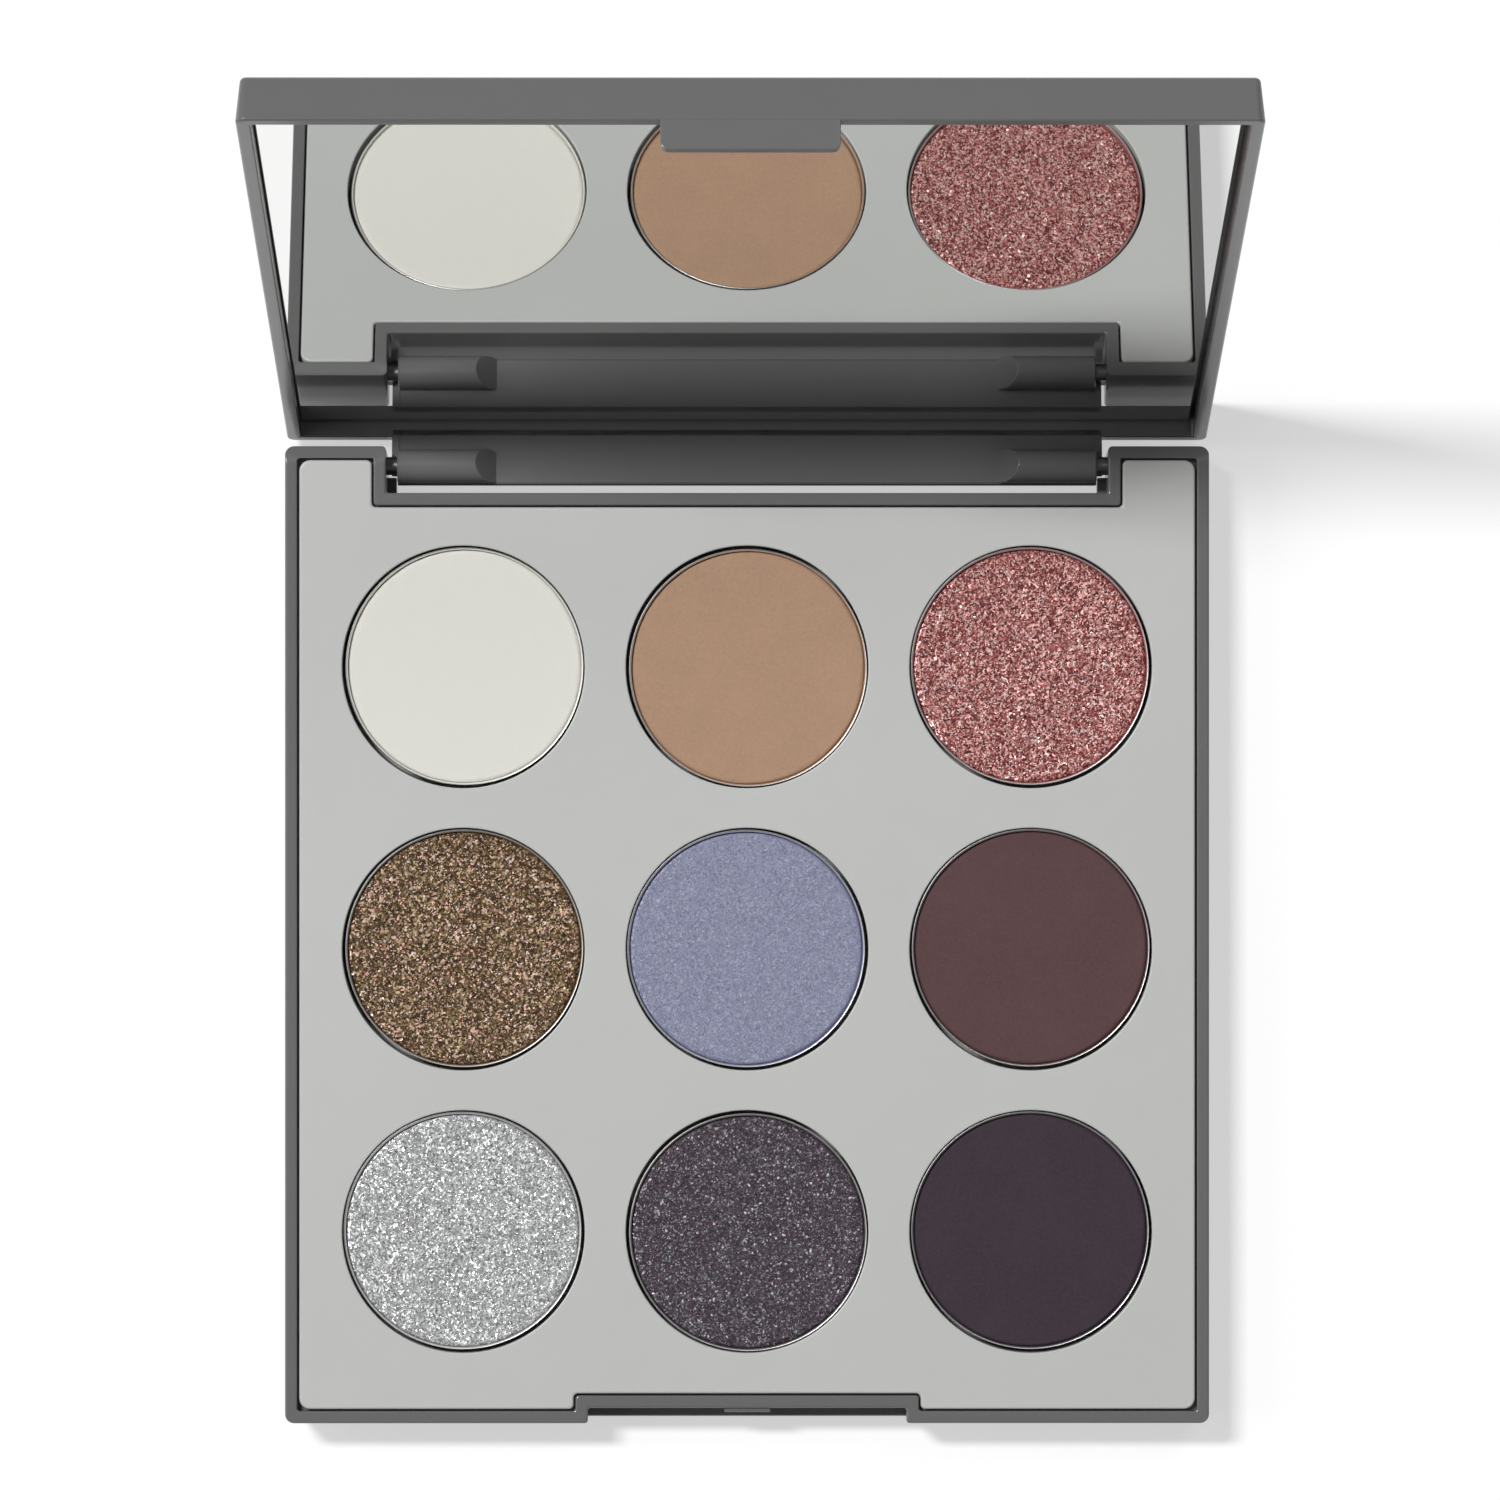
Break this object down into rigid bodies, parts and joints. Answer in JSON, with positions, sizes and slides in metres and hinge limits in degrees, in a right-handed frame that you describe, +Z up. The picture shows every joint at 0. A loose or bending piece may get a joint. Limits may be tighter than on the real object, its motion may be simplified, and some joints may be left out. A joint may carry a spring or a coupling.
{
  "type": "eyeshadow palette",
  "caption": "Flat square compact of pressed powder pans in a tray, with a mirrored lid on a back hinge and a snap tab in front.",
  "frame": {"origin": "middle of the shell's footprint, on the surface it stands on", "axes": "+Z up, +Y from the front tab towards the hinge, +X to the right; the shape is the same mirrored in X"},
  "size_m": [0.101, 0.1396, 0.106],
  "materials": {
    "shell_plastic": "satin moulded ABS, mid grey",
    "tray_plastic": "satin moulded ABS, light grey",
    "pan_metal": "drawn sheet, bright cut rim",
    "powder_ivory": "matte pressed powder",
    "powder_tan": "matte pressed powder",
    "powder_rose": "shimmer pressed powder",
    "powder_bronze": "glitter pressed powder",
    "powder_periwinkle": "satin pressed powder",
    "powder_cocoa": "matte pressed powder",
    "powder_silver": "glitter pressed powder",
    "powder_charcoal": "shimmer pressed powder",
    "powder_aubergine": "matte pressed powder",
    "glue": "dried hot glue",
    "label_paper": "blank coated paper label",
    "mirror": "silvered glass",
    "tape": "double-sided tape",
    "pin_steel": "ground steel wire"
  },
  "bodies": {
    "base": {"base_shell": "shell_plastic", "pan_tray": "tray_plastic", "pan_ivory": "pan_metal", "pan_tan": "pan_metal", "pan_rose": "pan_metal", "pan_bronze": "pan_metal", "pan_periwinkle": "pan_metal", "pan_cocoa": "pan_metal", "pan_silver": "pan_metal", "pan_charcoal": "pan_metal", "pan_aubergine": "pan_metal", "powder_ivory": "powder_ivory", "powder_tan": "powder_tan", "powder_rose": "powder_rose", "powder_bronze": "powder_bronze", "powder_periwinkle": "powder_periwinkle", "powder_cocoa": "powder_cocoa", "powder_silver": "powder_silver", "powder_charcoal": "powder_charcoal", "powder_aubergine": "powder_aubergine", "glue_dots": "glue", "bottom_label": "label_paper"},
    "lid": {"lid_shell": "shell_plastic", "mirror": "mirror", "mirror_tape": "tape", "hinge_pin_left": "pin_steel", "hinge_pin_right": "pin_steel"}
  },
  "joints": [
    {"name": "lid_hinge", "type": "hinge", "parent": "base", "child": "lid", "pos_m": [0, 0.0513, 0.00505], "axis": [1, 0, 0], "range_deg": [-10, 105]}
  ]
}
